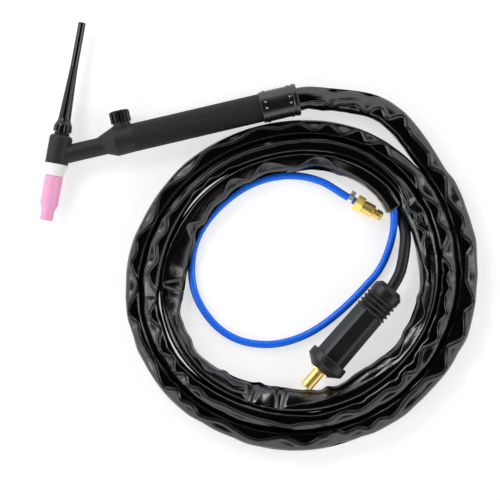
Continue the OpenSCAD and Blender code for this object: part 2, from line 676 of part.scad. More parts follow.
module plug_pin() color("#d0a23c") in_place() at_plug() difference() {
    union() {
        turned([[0, 0], [pin_r - 1, 0], [pin_r, 1], [pin_r, pin_len], [11.6, pin_len],
            [11.6, flange_end], [shank_r, flange_end], [shank_r, shank_end], [0, shank_end]]);
        translate([pin_r - 1, -1.6, 6]) cube([2.6, 3.2, 8]);
    }
    rod(core_r + 1.1, flange_end + 8, shank_end + 1);
    for (u = [14, 26]) translate([0, 0, flange_end + u]) rotate([0, 90, 0]) {
        cylinder(r = 2 + fixed_gap, h = shank_r + 1, $fn = round_fn);
    }
}

// The rubber grip: a collar, six tapering panels with bevelled corners, ribs and a plain tail.
function panels(r) = [for (k = [0:5], side = [-1, 1]) let(a = 60 * k + side * 23)
    [r * cos(a), r * sin(a)]];
rib_wave_h = 1.3;
function rib_wave(steps) = [for (i = [0:rib_count - 1], k = [0:steps - 1])
    let(phase = 360 * k / steps) [rib_r - rib_wave_h + rib_wave_h * cos(phase + 180), ribs_u + rib_pitch * (i + k / steps)]];

module plug_grip() color("#1e1f21") in_place() at_plug() difference() {
    union() {
        turned([[0, pin_len + 1], [12, pin_len + 1], [grip_collar_r - 1.2, collar_u - 0.6],
            [grip_collar_r, collar_u + 0.6], [grip_collar_r, body_u - 0.8],
            [grip_collar_r - 0.8, body_u], [0, body_u]]);
        hull() {
            translate([0, 0, body_u - 1]) linear_extrude(0.1) polygon(panels(grip_front_r / cos(23)));
            translate([0, 0, ribs_u + 0.5]) linear_extrude(0.1) polygon(panels(grip_rear_r / cos(23)));
        }
        turned(concat([[0, ribs_u]], rib_wave(8), [[rib_r - 2.2, tail_u], [rib_r - 1, tail_u + 1.5],
            [rib_r - 1, plug_len - 5], [12.2, plug_len], [0, plug_len]]));
    }
    rod(11.6 + fixed_gap, pin_len, flange_end + eps);
    rod(shank_r + fixed_gap, flange_end - 1, shank_end + fixed_gap);
    rod(cable_r + 0.1, shank_end - 1, plug_len + 1);
}

module cable_ferrule() color("#b5663c") in_place() at_plug() {
    pipe(core_r + 1.05, core_r, flange_end + 9, cable_end - face_gap);
}

module plug_screws() color("#8d8f92") in_place() at_plug() {
    for (u = [14, 26]) translate([0, 0, flange_end + u]) rotate([0, 90, 0]) {
        translate([0, 0, core_r + 1.15]) difference() {
            cylinder(r = 2, h = shank_r - core_r - 1.6, $fn = round_fn);
            translate([0, 0, shank_r - core_r - 3.2]) cylinder(r = 1, h = 3, $fn = 6);
        }
    }
}

// ---- Gas fitting ----

module at_nose() translate([fit_tip[0], fit_tip[1], fit_z]) rotate([0, 90, fit_angle]) children();
nipple_r = 4;
nipple_bore = 1.8;
nose_round = 3;

module gas_nipple() color("#c99a3a") in_place() at_nose() turned(concat(
    arc([nose_r - nose_round, nose_round], nose_round, -90, 0, 6), [
    [nose_r, nose_len - 2.4], [nose_r - 1.2, nose_len - 1.6], [nose_r - 1.2, nose_len],
    [nipple_r, nose_len], [nipple_r, hose_end - face_gap], [nipple_bore, hose_end - face_gap],
    [nipple_bore, 0.4]]));

module gas_nut() color("#cfa341") in_place() at_nose() difference() {
    union() {
        turned([[0, nose_len + 0.6], [gas_thread_r - 1, nose_len + 0.6], [gas_thread_r, nose_len + 1.6],
            [gas_thread_r, thread_end - 1.6], [gas_thread_r - 0.9, thread_end - 1.4],
            [gas_thread_r - 0.9, thread_end + 1], [0, thread_end + 1]]);
        rotate([0, 0, -7]) hexagon(gas_hex_af, thread_end, hex_end);
    }
    rod(nipple_r + turn_fit, nose_len, hex_end + 1);
}

module ear_clamp() color("#cfd1d3") in_place() at_nose() {
    difference() {
        union() {
            rod(hose_r + 0.8, hose_end + 3, hose_end + 8);
            translate([-1.6, -hose_r - 4.6, hose_end + 3]) cube([3.2, 5, 5]);
        }
        rod(hose_r + fixed_gap, hose_end + 2, hose_end + 9);
        translate([-0.8, -hose_r - 3.8, hose_end + 2]) cube([1.6, 2.4, 7]);
    }
}

head_insulation();
head_body();
neck_tube();
cup_gasket();
collet_body();
collet();
ceramic_nozzle();
back_cap();
cap_insert();
cap_oring();
valve_block();
valve_bonnet();
valve_stem();
stem_oring();
valve_knob();
tail_adapter();
cable_nut();
cable_lug();
inner_hose_clamp();
handle();
handle_collar();
front_band();
rear_band();
band_clips();
sheath();
power_cable();
gas_hose();
plug_pin();
plug_grip();
cable_ferrule();
plug_screws();
gas_nipple();
gas_nut();
ear_clamp();
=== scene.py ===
# %% [markdown]
# # A gas-shielded welding torch, dressed for the eye
# The solids of this torch come ready-made: every brass part, moulding and nut already has its
# place. Blender's part of the work is what a solid modeller does badly: a limp plastic sleeve full
# of folds, a rubber lead, a braided hose, and finishes that tell brass from ceramic. We load the
# fixed solids first.

# %% Load the torch
import math

import bpy
import numpy as np
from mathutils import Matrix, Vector


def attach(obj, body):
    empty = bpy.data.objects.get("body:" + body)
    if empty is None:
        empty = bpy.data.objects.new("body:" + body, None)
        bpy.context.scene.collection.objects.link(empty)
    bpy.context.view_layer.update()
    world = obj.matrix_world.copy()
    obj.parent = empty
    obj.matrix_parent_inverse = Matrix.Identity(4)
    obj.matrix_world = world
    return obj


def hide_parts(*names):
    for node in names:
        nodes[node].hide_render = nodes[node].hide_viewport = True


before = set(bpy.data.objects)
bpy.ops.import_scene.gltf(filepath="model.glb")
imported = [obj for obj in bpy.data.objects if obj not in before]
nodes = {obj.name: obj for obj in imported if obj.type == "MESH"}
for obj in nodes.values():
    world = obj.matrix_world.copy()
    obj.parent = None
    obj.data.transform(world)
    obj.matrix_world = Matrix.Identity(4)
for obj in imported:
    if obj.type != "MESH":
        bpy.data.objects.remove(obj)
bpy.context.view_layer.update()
scene = bpy.context.scene

# %% [markdown]
# ## The camera
# A product like this is laid on a white table and seen from straight above, a little turned. A long
# lens from a metre and a half keeps the coil round, and turning the camera rather than the torch
# leaves the solids where they are.

# %% Look straight down
EYE_AT = (0.06104, -0.17513, 1.517)
EYE_TURNED = math.radians(-13.15)
LENS_MM, SENSOR_MM = 102.9, 36
eye = bpy.data.cameras.new("eye")
eye.lens, eye.sensor_width = LENS_MM, SENSOR_MM
eye.clip_start, eye.clip_end = 0.05, 20
camera = bpy.data.objects.new("camera", eye)
camera.location = EYE_AT
camera.rotation_euler = (0, 0, EYE_TURNED)
scene.collection.objects.link(camera)
scene.camera = camera
print("seen width at the table:", round(EYE_AT[2] * SENSOR_MM / LENS_MM, 3), "m")

# %% [markdown]
# ## From torch millimetres to scene metres
# The torch was drawn with X along its handle, starting where the head's axis crosses it. One small
# function turns such a point into the scene's metres, so that every number below is a plain
# millimetre that can be checked with a ruler.

# %% Place a point
MM = 0.001
SCENE_ORIGIN = (112.551, 32.460)
HANDLE_HEIGHT = 17.05


def place(x, y, above_bench):
    return np.array([(x - SCENE_ORIGIN[0]) * MM, (y - SCENE_ORIGIN[1]) * MM, above_bench * MM])


print("handle's end in the scene:", place(236, 0, HANDLE_HEIGHT))

# %% [markdown]
# ## Lines with a known length
# A cord keeps its length whatever its shape, so a line is handled by the distance along it. A few
# given points are joined by a curve that passes through all of them (a Catmull-Rom spline),
# and the curve is then cut into equal steps.

# %% Smooth, even lines
BETWEEN_POINTS = 24


def distances(line):
    """How far along the line each of its points lies."""
    return np.concatenate([[0], np.cumsum(np.linalg.norm(np.diff(line, axis=0), axis=1))])


def evenly(line, step):
    along = distances(line)
    stops = np.linspace(0, along[-1], max(2, round(along[-1] / step)) + 1)
    return np.stack([np.interp(stops, along, line[:, i]) for i in range(3)], axis=1)


def smooth_route(points, step):
    """Points every `step` metres along a curve that passes through all the given points."""
    p = np.array(points, float)
    p = np.vstack([2 * p[0] - p[1], p, 2 * p[-1] - p[-2]])
    fine = []
    for a, b, c, d in zip(p, p[1:], p[2:], p[3:]):
        for u in np.linspace(0, 1, BETWEEN_POINTS, endpoint=False):
            fine.append(0.5 * (2 * b + (c - a) * u + (2 * a - 5 * b + 4 * c - d) * u**2
                               + (3 * b - a - 3 * c + d) * u**3))
    fine.append(p[-2])
    return evenly(np.array(fine), step)


def length_of(line):
    return float(distances(line)[-1])


print("a 3-4-5 triangle's long side:", length_of(np.array([(0, 0, 0), (3, 4, 0)])))

# %% [markdown]
# ## Three small shapes of change
# Every fold below is a sum of simple changes: a ramp that rises once, an ease that rises once and
# softly, and a hump that rises and falls again.

# %% Ramp, ease and hump
def ramp(x, start, over):
    """0 before `start`, 1 after `start + over`. With a negative `over` it falls towards `start`."""
    return np.clip((x - start) / over, 0, 1)


def ease(u):
    u = np.clip(u, 0, 1)
    return u * u * (3 - 2 * u)


def hump(offset, width):
    return np.exp(-((offset / width) ** 2))


print("halfway up:", float(ramp(5, 0, 10)), float(ease(0.5)), "and a hump's side:",
      round(float(hump(1, 1)), 2))

# %% [markdown]
# ## Where the sleeve lies
# The sleeve leaves the handle's collar straight, bends down to the bench, and lies in three turns
# and a bit, wound clockwise and a little oval, as a person coils a lead by hand. The first bend is
# given point by point; after it a formula for the radius at each angle keeps the turns side by
# side.
# The inner turns are pressed narrower and stand taller, because a full sleeve keeps its girth when
# squeezed.

# %% The coil's formula
COIL_CENTRE = (213.8, -182.3)
COIL_FROM, COIL_TO = 75, 1140
FREE_R, PRESSED_R, TURN_GAP = 12, 11.6, 1.2
# How much, and in which direction: the coil is a little oval, and a trace three-cornered.
OVAL, CORNERED = (4.64, 73.7), (1.67, 32.5)
# How much, where, over what angle: the radius shrinks under the handle in each later turn, where
# the first turn comes to lie, and where the last turn has nothing inside it and spreads.
UNDER_HANDLE, LANDING = (3.6, 12, 30), (4.6, 80, 22)
SPREADS = [(1.6, 870, 18), (1.6, 936, 18), (3.4, 1012, 32), (0.8, 960, 60)]


def cosd(a):
    return math.cos(math.radians(a))


def spiral(t):
    """Radius after t turns, before any of the changes above."""
    return 190.7 - 34.5 * t + 8.25 * t**2 - 1.257 * t**3


def spread(a):
    return sum(much * hump(a - at, over) for much, at, over in SPREADS)


def coil_radius(a):
    r = (spiral(a / 360) + OVAL[0] * cosd(2 * (a - OVAL[1]))
         + CORNERED[0] * cosd(3 * (a - CORNERED[1])))
    if a >= 180:
        past = (a - UNDER_HANDLE[1] + 180) % 360 - 180
        r -= UNDER_HANDLE[0] * hump(past, UNDER_HANDLE[2])
    return r - LANDING[0] * hump(a - LANDING[1], LANDING[2]) - spread(a)


def coil_xy(a, r):
    return COIL_CENTRE[0] + r * math.sin(math.radians(a)), COIL_CENTRE[1] + r * cosd(a)


print("coil radius after each turn:",
      [round(float(coil_radius(a)), 1) for a in (90, 450, 810, 1140)])

# %% How wide and how tall
def half_width(a):
    t = min(a / 360, COIL_TO / 360 - 1)
    return min(FREE_R, (spiral(t) - spiral(t + 1) - TURN_GAP) / 2 + spread(a))


def half_height(a):
    return math.sqrt(2 * PRESSED_R**2 - min(half_width(a), PRESSED_R) ** 2)


def reached_bench(a):
    """0 at the handle's collar, 1 where the sleeve lies on the bench."""
    return ease((a - 14) / 60)


print("half-height of each turn:", [round(half_height(a), 1) for a in (90, 450, 810, 1140)])

# %% Stations along the sleeve
# Each station: centre in torch millimetres, height above the bench, half-width, half-height, angle.
FIRST_BEND = [(272, -1.7), (294, -8.8), (315, -16), (331, -22.9), (343.5, -32.2), (354.5, -45.6),
              (363.5, -61.8), (371.3, -79.5), (378.2, -97.8), (384.6, -116.5)]
BENCH_GAP, COIL_STEP = 0.2, 5
stations = [(x, 0, HANDLE_HEIGHT, FREE_R, FREE_R, angle)
            for x, angle in [(236.05, 7), (248, 10.5), (260, 14)]]
for x, y in FIRST_BEND:
    angle = math.degrees(math.atan2(x - COIL_CENTRE[0], y - COIL_CENTRE[1]))
    down = reached_bench(angle)
    tall = FREE_R - (FREE_R - PRESSED_R) * down
    stations.append((x, y, HANDLE_HEIGHT + (tall - HANDLE_HEIGHT) * down, FREE_R, tall, angle))
for angle in range(COIL_FROM, COIL_TO + 1, COIL_STEP):
    tall = half_height(angle)
    height = HANDLE_HEIGHT + (tall + BENCH_GAP - HANDLE_HEIGHT) * reached_bench(angle)
    stations.append((*coil_xy(angle, coil_radius(angle)), height, half_width(angle), tall, angle))
print("stations:", len(stations))

# %% The mouth, and the sleeve's middle line
MOUTH_TURN, MOUTH_STEP, MOUTH_HEIGHT = math.radians(-68), 17.5, 13.4
MOUTH_HALF_WIDTH, MOUTH_HALF_HEIGHT = 9.8, 13.2
RING_STEP = 0.0019
last_x, last_y = coil_xy(COIL_TO, coil_radius(COIL_TO))
MOUTH = (last_x + MOUTH_STEP * math.cos(MOUTH_TURN), last_y + MOUTH_STEP * math.sin(MOUTH_TURN),
         MOUTH_HEIGHT)
stations.append((*MOUTH, MOUTH_HALF_WIDTH, MOUTH_HALF_HEIGHT, COIL_TO + 8))

centres = np.array([place(*q[:3]) for q in stations])
sleeve_line = smooth_route(centres, RING_STEP)
SLEEVE_LENGTH = length_of(sleeve_line)
sleeve_along = np.linspace(0, SLEEVE_LENGTH, len(sleeve_line))
knots = distances(centres)
half_w, half_h, sleeve_angle = (
    np.interp(sleeve_along, knots * SLEEVE_LENGTH / knots[-1], column)
    for column in np.array([q[3:] for q in stations]).T)
print("sleeve length:", round(SLEEVE_LENGTH, 3), "m in", len(sleeve_line), "steps")

# %% [markdown]
# ## How a limp sleeve folds
# Thin vinyl wound round a bend has too much skin on the inner side. The slack gathers in one long
# crease that wanders along the top of the sleeve. Outside the crease the skin falls away like a
# roof; inside it the skin drops a step and lies nearly level. Cloth simulation of three metres
# would take long and come out differently for each setting, so the skin's shape is written as a
# cross-section that changes along the way. Seeded noise adds the small differences between folds.

# %% Seeded noise
def soft_noise(along, around, cells, seed):
    """Smooth hills between -1 and 1. `around` repeats after `cells`."""
    heights = np.random.RandomState(seed).uniform(-1, 1, (1024, cells))
    i, j = np.floor(along).astype(int), np.floor(around).astype(int)
    u, v = ease(along - i), ease(around - j)
    low = heights[i % 1024, j % cells] * (1 - u) + heights[(i + 1) % 1024, j % cells] * u
    high = (heights[i % 1024, (j + 1) % cells] * (1 - u)
            + heights[(i + 1) % 1024, (j + 1) % cells] * u)
    return low * (1 - v) + high * v


def wave(s, pitch, seed):
    """A wandering line: hills about `pitch` millimetres apart."""
    return 1.3 * soft_noise(s / pitch * 2, np.zeros_like(s), 2, seed)


def fall(distance, round_off):
    """Nothing on one side of a crease, the distance itself on the other, with a rounded start."""
    return 0.5 * (distance + np.sqrt(distance**2 + round_off**2))


print("noise at the start:", round(float(wave(np.array([0.3]), 30, 3)[0]), 3))

# %% Points round a ring
# Turn 0 is the coil's inner side, 90 the top, 180 the outer side. Most points go to the top.
top_turns = np.linspace(8, 172, 50)
low_turns = np.linspace(172, 368, 14)[1:-1]
turns = np.radians(np.concatenate([top_turns, low_turns]))
s = sleeve_along[:, None] / MM
a = sleeve_angle[:, None]
# A round sleeve is a circle; pressed between its neighbours it becomes a rounded box.
boxy = 2.0 + 1.5 * ramp(s, 40, 90)
rho = (np.abs(np.cos(turns)) ** boxy + np.abs(np.sin(turns)) ** boxy) ** (-1 / boxy)
out_part = -np.cos(turns)[None, :] * rho
up_part = np.sin(turns)[None, :] * rho
print("a ring has", len(turns), "points")

# %% [markdown]
# ## How wide each turn is
# Between two turns the skins meet halfway and press a little into each other. On the free sides,
# outside the first turn and inside the last, the edge was laid out as a radius at each
# angle. Here and there two turns part, and the table shows between them.

# %% Tables of the free edges
OUTER_EDGE = [
    (70, 197), (80, 195), (90, 193.5), (100, 191), (110, 191), (120, 191), (130, 188.5),
    (140, 185.5), (150, 184.5), (160, 183), (170, 181.5), (180, 181.5), (200, 182), (220, 181),
    (240, 184), (260, 182), (280, 178.5), (300, 174), (310, 170.5), (325, 168)]
FIRST_INNER = [(20, 177), (30, 181.5), (40, 184), (48, 180), (55, 173.5)]
INNER_EDGE = [
    (780, 130), (786, 131), (800, 131), (815, 129.5), (828, 131), (839, 128.5), (850, 127.5),
    (860, 126), (870, 121), (880, 118.5), (892, 121.5), (903, 120), (918, 115.5), (930, 117),
    (944, 122), (954, 125.5), (966, 130.5), (975, 127.5), (987, 128), (995, 119), (1003, 116),
    (1012, 112), (1050, 111), (1080, 112)]
# Where two turns part: (angle, over what angle, how much).
PARTINGS = [(611, 15, 3.2), (633, 6, 2.2), (545, 5, 2.0), (686, 15, 3.0)]


def edge(table, angle):
    return np.interp(angle, *zip(*table))


print("free edges run between", min(r for _, r in INNER_EDGE), "and",
      max(r for _, r in OUTER_EDGE), "mm from the coil's middle")

# %% Inner and outer half-widths
PRESSED_IN = 0.5
# The angle at which the first turn meets the second, and the one past which the last runs free.
MEETS, RUNS_FREE = 62, COIL_TO - 356
radius_here = np.array([
    coil_radius(angle) if angle >= COIL_FROM
    else math.hypot(*(point[:2] / MM + np.array(SCENE_ORIGIN) - COIL_CENTRE))
    for angle, point in zip(sleeve_angle, sleeve_line)])
to_next = radius_here - np.interp(sleeve_angle + 360, sleeve_angle, radius_here)
to_last = np.interp(sleeve_angle - 360, sleeve_angle, radius_here) - radius_here
in_w, out_w = half_w.copy(), half_w.copy()
between = (sleeve_angle > MEETS) & (sleeve_angle < RUNS_FREE)
in_w[between] = to_next[between] / 2 + PRESSED_IN
for at, over, much in PARTINGS:
    in_w[between] -= much * hump(sleeve_angle[between] - at, over)
after = sleeve_angle > MEETS + 360
out_w[after] = to_last[after] / 2 + PRESSED_IN
first = (sleeve_angle > 18) & (sleeve_angle <= MEETS)
in_w[first] = np.clip((radius_here - edge(FIRST_INNER, sleeve_angle))[first], 9, 13)
free_out = (sleeve_angle > 70) & (sleeve_angle < 330)
out_w[free_out] = np.clip((edge(OUTER_EDGE, sleeve_angle) - radius_here)[free_out], 7, 14)
free_in = (sleeve_angle >= 786) & (sleeve_angle < 1085)
in_w[free_in] = np.clip((radius_here - edge(INNER_EDGE, sleeve_angle))[free_in], 7, 16)

# A short blur along the sleeve joins the stretches.
blur = np.hanning(13) / np.hanning(13).sum()
in_w, out_w = (np.convolve(np.pad(w, 6, mode="edge"), blur, "valid")[:, None]
               for w in (in_w, out_w))
print("half-widths, mm:", round(float(in_w.min()), 1), "to",
      round(float(max(in_w.max(), out_w.max())), 1))

# %% [markdown]
# ## The folds
# Laid out flat, every turn shows the same pattern. A shining band lies on the outer side and ends
# in a crease that hangs in swags, like a curtain, with an arch between each two. Inside the crease
# the skin drops a step and lies level and dark. On the last turn nothing presses from inside, so
# there the shining band is on the inner side. The crease is laid out as a radius at each
# angle: noise alone would not know where a real sleeve has been bent.

# %% Where the crease runs
CREASE = [
    # first turn
    (14, 183), (21, 187), (24, 183), (28, 188), (31.5, 192), (35, 188), (39.5, 199), (43, 193),
    (46.5, 204), (49, 197), (53, 193), (59, 191.5), (63.5, 184), (68, 190), (76, 180),
    (84, 186.5), (88, 181), (92.5, 188), (96, 181), (103, 179), (111, 188.5), (115, 181),
    (122, 186.5), (128, 175), (134.8, 184), (142, 173), (150, 172), (158.5, 177), (162.5, 172),
    (166.8, 175.5), (171, 170), (175, 171), (179, 166), (183, 169), (190, 175), (197.5, 168),
    (207.8, 175), (220, 169.5), (228.5, 176), (232.5, 172), (236.8, 176), (240, 172),
    (244.2, 180), (253, 173), (263, 175), (267, 172.5), (271.2, 179.5), (281, 166),
    (288.5, 173.5), (292.5, 169.5), (296.5, 172), (306, 161), (315.2, 167), (328, 157),
    (338, 163), (349, 157), (359, 162),
    # second turn
    (367, 158), (374, 162), (380, 157), (385, 165), (391, 159), (396.8, 168.5), (401, 161),
    (406.5, 168.5), (412, 162), (421.7, 165), (429, 158), (437, 167), (441.5, 161), (446, 166),
    (454, 155), (460, 162.5), (463, 159), (466.5, 162), (471, 158), (476.5, 162), (481, 157),
    (486.2, 162), (493, 152), (500.5, 158.5), (504.5, 152), (508.5, 157), (515, 151),
    (526.5, 154), (534, 149), (541, 153), (550, 152.5), (556, 155), (565, 152.5), (582, 152.5),
    (590, 156), (594, 154), (598.5, 159), (602, 154), (605.5, 160.5), (610, 154), (615, 161.5),
    (623, 152), (628.5, 158.5), (636, 147), (644.5, 155), (651, 147), (657.5, 150.5), (664, 145),
    (669, 149), (675, 145), (690, 142), (710, 141), (720, 140.5),
    # third turn, up to where nothing presses from inside
    (730, 142.5), (740, 145), (750, 147.5), (760, 149), (770, 148), (780, 147), (788, 143),
    (791, 138.5), (795, 143), (799, 138.5), (803.5, 144), (808, 139), (815, 138)]


def swags(table, angle):
    """Follows the table's points with rounded tops and bottoms."""
    at, r = np.array(table, float).T
    n = np.clip(np.searchsorted(at, angle) - 1, 0, len(at) - 2)
    return r[n] + (r[n + 1] - r[n]) * ease((angle - at[n]) / (at[n + 1] - at[n]))


print("points on the crease:", len(CREASE))

# %% Where the last turn bends
# BEND: where the level top starts to fall inwards. ARCH: a ledge further in, under which the loose
# skin stands steeper down to the free edge.
BEND = [
    (800, 147), (822, 145), (840, 144), (852, 141), (860, 139), (870, 134), (885, 131),
    (900, 131), (910, 132.5), (917, 135), (920.5, 141), (924, 137), (930, 142), (934, 143.5),
    (938, 134), (944, 136.5), (960, 139), (975, 139), (988, 140), (995, 143), (1000, 145),
    (1006, 142), (1014, 140), (1022, 133), (1035, 130.5), (1060, 129), (1080, 129.5),
    (1095, 131), (1105, 135.5), (1116, 131), (1128, 133), (1149, 139)]
ARCH = [
    (800, 138), (813, 132), (822, 139), (830, 132), (839, 140.5), (850, 130), (860, 135.5),
    (869, 122), (880, 119), (888, 121), (896, 130), (903, 121), (912, 118), (928, 118),
    (936, 123), (944, 131), (951, 127), (958, 136.5), (963, 133.5), (967.5, 136.5), (975, 131),
    (983, 135), (990, 128), (996, 120), (1003, 116), (1012, 114), (1022, 114), (1029, 128.5),
    (1036, 115), (1044, 120.5), (1050, 115.5), (1059.5, 125), (1068, 116), (1078, 126),
    (1092, 117.5), (1105, 131.5), (1117, 120), (1125, 122.5), (1135, 116), (1149, 114)]
print("points on the last turn:", len(BEND) + len(ARCH))

# %% [markdown]
# ## From lines to a surface
# Each line becomes a height: how far the skin drops below the round sleeve at a place. The slopes
# matter more than the depths, because black vinyl shows nothing but reflections. A level patch
# mirrors the dark overhead and looks black; a patch that tilts by twenty degrees or more mirrors
# the bright walls.

# %% The turns that are pressed from inside
ROUNDED = 0.35
ROOF, STEEPER_AT_FIRST = 0.30, 0.09
HEM_WIDTH, LEAST_HEM = 3.2, 0.3
STEP_DEPTH, FLOOR_SLOPE = 3.6, 0.03
across = out_part * np.where(out_part > 0, out_w, in_w)
radius_at = radius_here[:, None] + across
beyond = radius_at - swags(CREASE, sleeve_angle)[:, None]
roof = ROOF + STEEPER_AT_FIRST * ramp(a, 430, -60) + 0.15 * wave(s, 52, 13)
pleats = 0.09 * wave(s, 19, 51)
hem = np.maximum(LEAST_HEM, ramp(a, 790, -20)) * ease(beyond / HEM_WIDTH)
step_width = 1.8 + 1.6 * ramp(a, 770, 15)
turned_out = ((roof + pleats) * fall(beyond, ROUNDED) + hem
              + STEP_DEPTH * ease(-beyond / step_width) + FLOOR_SLOPE * fall(-beyond, ROUNDED))
print("the band's slope runs from", round(float(roof.min()), 2),
      "to", round(float(roof.max()), 2))

# %% The last turn, open on its inner side
TOP_SLOPE, LEDGE_WIDTH = 0.04, 1.1
last_turn = ramp(a, 806, 8)
past_bend = swags(BEND, sleeve_angle)[:, None] - radius_at
past_arch = swags(ARCH, sleeve_angle)[:, None] - radius_at
flank = 0.37 + 0.13 * wave(s, 45, 14)
turned_in = (TOP_SLOPE * fall(-past_bend, ROUNDED) + flank * fall(past_bend, 0.8)
             - flank * np.clip(past_arch, 0, LEDGE_WIDTH)
             + 0.5 * ease(past_bend / 3) + 0.5 * fall(past_arch - LEDGE_WIDTH, 0.3))
drop = turned_out * (1 - last_turn) + turned_in * last_turn
print("deepest fold so far:", round(float(drop.max()), 1), "mm")

# %% Fine creases along the shining band
# (distance from the main crease and depth in millimetres, seed of its noise)
FINE_CREASES = [(3.4, 0.25, 17), (5.6, 0.35, 18)]
shining = np.where(last_turn > 0.5, past_bend, beyond)
for place_on, depth, seed in FINE_CREASES:
    there = np.clip(1.2 * wave(s, 80, seed) + 0.45, 0, 1)
    line = place_on + 0.8 * wave(s, 46, seed + 20)
    drop = drop + there * depth * np.exp(-np.abs(shining - line) / 0.55) * (past_arch < 0)
print("fine creases:", len(FINE_CREASES))

# %% [markdown]
# ## Where the skin gives way
# Two things break the long lines. At the foot of many arches the skin rounds off early and falls
# to the next turn, in the shape of a half-moon. On the last turn it is pinched into a point here
# and there and falls open inwards, like a tent. Both are placed one by one, by their angle.

# %% Half-moons at the foot of the arches
# (angle along the coil, half-length and height in millimetres)
MOONS = [
    (21.5, 6, 5), (31, 5, 4), (40, 5, 3.5), (102, 8, 5), (129.5, 7, 4), (141.5, 8, 4),
    (158, 5, 4), (169, 5, 4), (176, 8, 4), (187.5, 9, 3.5), (207.5, 9, 4), (228, 6, 4),
    (236.5, 8, 4), (244, 6, 4.5), (392, 6, 4), (402, 8, 6), (413, 6, 4), (437, 7, 4),
    (461, 7, 5), (468, 6, 5), (477, 9, 4.5), (488, 8, 6), (499, 9, 6.5), (508.5, 8, 7),
    (525.5, 10, 6), (537, 6, 3), (598, 6, 4), (606, 6, 4), (614.5, 8, 5), (628, 7, 4),
    (683, 10, 6), (692, 9, 6), (702, 12, 5), (746, 5, 3)]
MOON_SLOPE = 0.62


def along_at(angle):
    """Millimetres along the sleeve where the coil has this angle."""
    return float(np.interp(angle, sleeve_angle, sleeve_along)) / MM


foot = np.zeros_like(s)
for at, half_long, height in MOONS:
    foot = np.maximum(foot, height * np.clip(1 - ((s - along_at(at)) / half_long) ** 2, 0, 1))
below_foot = fall(radius_here[:, None] - in_w + foot - radius_at, 0.25)
drop = drop + MOON_SLOPE * below_foot * (foot > 0.2) * (1 - last_turn)
print("half-moons:", len(MOONS))

# %% Tents on the last turn
# (angle, radius at the tip and at the foot, half-width at the foot, depth), in degrees and mm.
TENTS = [(920.5, 141, 117, 8, 2.0), (933, 142, 121, 6, 1.5), (1000, 143, 117, 9, 2.4)]
for at, tip_r, foot_r, wide, depth in TENTS:
    down = np.clip((tip_r - radius_at) / (tip_r - foot_r), 0, 1.3)
    offset = np.abs(s - along_at(at)) / (0.9 + wide * down)
    dent = depth * ease((1.15 - offset) / 0.75)
    drop = drop + dent * ease(down * 4) * (out_part < 0.6)
print("tents:", len(TENTS))

# %% Firm at both ends
# The collar holds the sleeve round at its start. Near the mouth the leads hold the skin up.
loose = ramp(s, 22, 40)
held_up = np.maximum(0.25, ramp(s, sleeve_along[-1] / MM - 16, -60))
drop = drop * loose * held_up * np.clip(up_part * 1.6, 0, 1)
print("deepest fold:", round(float(drop.max()), 1), "mm")

# %% The free edges run in and out
# Lobes of the inner edge: (angle, height and half-length in millimetres)
LOBES = [
    (907, 1.0, 8), (932, 1.5, 5), (950, 1.5, 6), (973, 1.2, 7), (897, 2.0, 5), (868, 1.0, 6),
    (1012, 1.2, 7), (1036, 1.2, 6), (1051, 1.2, 6), (832, 1.4, 6), (850, 1.4, 7), (1068, 1.3, 6),
    (1092, 2, 8), (1115, 1.6, 8)]
open_edge = np.maximum(ramp(a, 786, 12), (a < 55) * 1.0)
ripple = 0.5 * wave(s, 17, 31) * open_edge
for at, height, half_long in LOBES:
    ripple = ripple + height * hump(s - along_at(at), half_long)
bulges = 0.6 * wave(s, 33, 41) * ramp(a, 30, 20) * ramp(a, 330, -20)
print("lobes:", len(LOBES))

# %% [markdown]
# ## Skin swept along the line
# A ring of points is set across the line at every step and joined to the next ring. Each face is
# listed so that it looks outwards, which a slicer or a game engine needs. The length and the turn
# of every point go into the UV, for patterns that run along a cord.

# %% Rings and sweeps
def frames_along(line):
    """Unit vectors across and up at each point of a line that lies more or less flat."""
    ahead = np.gradient(line, axis=0)
    ahead /= np.linalg.norm(ahead, axis=1)[:, None]
    side = np.cross(ahead, [0, 0, 1.0])
    side /= np.linalg.norm(side, axis=1)[:, None]
    return side, np.cross(side, ahead)


def swept_mesh(name, rings, along, close_end=True):
    """A tube mesh through rings of points, with its own length and turn kept as UV."""
    count, around = rings.shape[:2]
    i, k = np.meshgrid(np.arange(count - 1), np.arange(around), indexing="ij")
    k2 = (k + 1) % around
    corners = [i * around + k, (i + 1) * around + k, (i + 1) * around + k2, i * around + k2]
    faces = np.stack(corners, -1).reshape(-1, 4).tolist() + [list(range(around))]
    if close_end:
        faces.append(list(range((count - 1) * around, count * around))[::-1])
    mesh = bpy.data.meshes.new(name)
    mesh.from_pydata(rings.reshape(-1, 3).tolist(), [], faces)
    turn = np.stack([k, k, k + 1, k + 1], -1).reshape(-1) / around
    far = np.stack([along[i], along[i + 1], along[i + 1], along[i]], -1).reshape(-1)
    uv = np.zeros((len(mesh.loops), 2), np.float32)
    uv[:len(turn), 0], uv[:len(far), 1] = turn, far
    mesh.uv_layers.new(name="length").data.foreach_set("uv", uv.ravel())
    mesh.polygons.foreach_set("use_smooth", [True] * len(mesh.polygons))
    mesh.update()
    piece = bpy.data.objects.new(name, mesh)
    scene.collection.objects.link(piece)
    return piece


# The sleeve runs clockwise, so `side` points to the coil's middle.
side, up = frames_along(sleeve_line)
print("first ring looks along", np.round(np.cross(up[0], side[0]), 2))

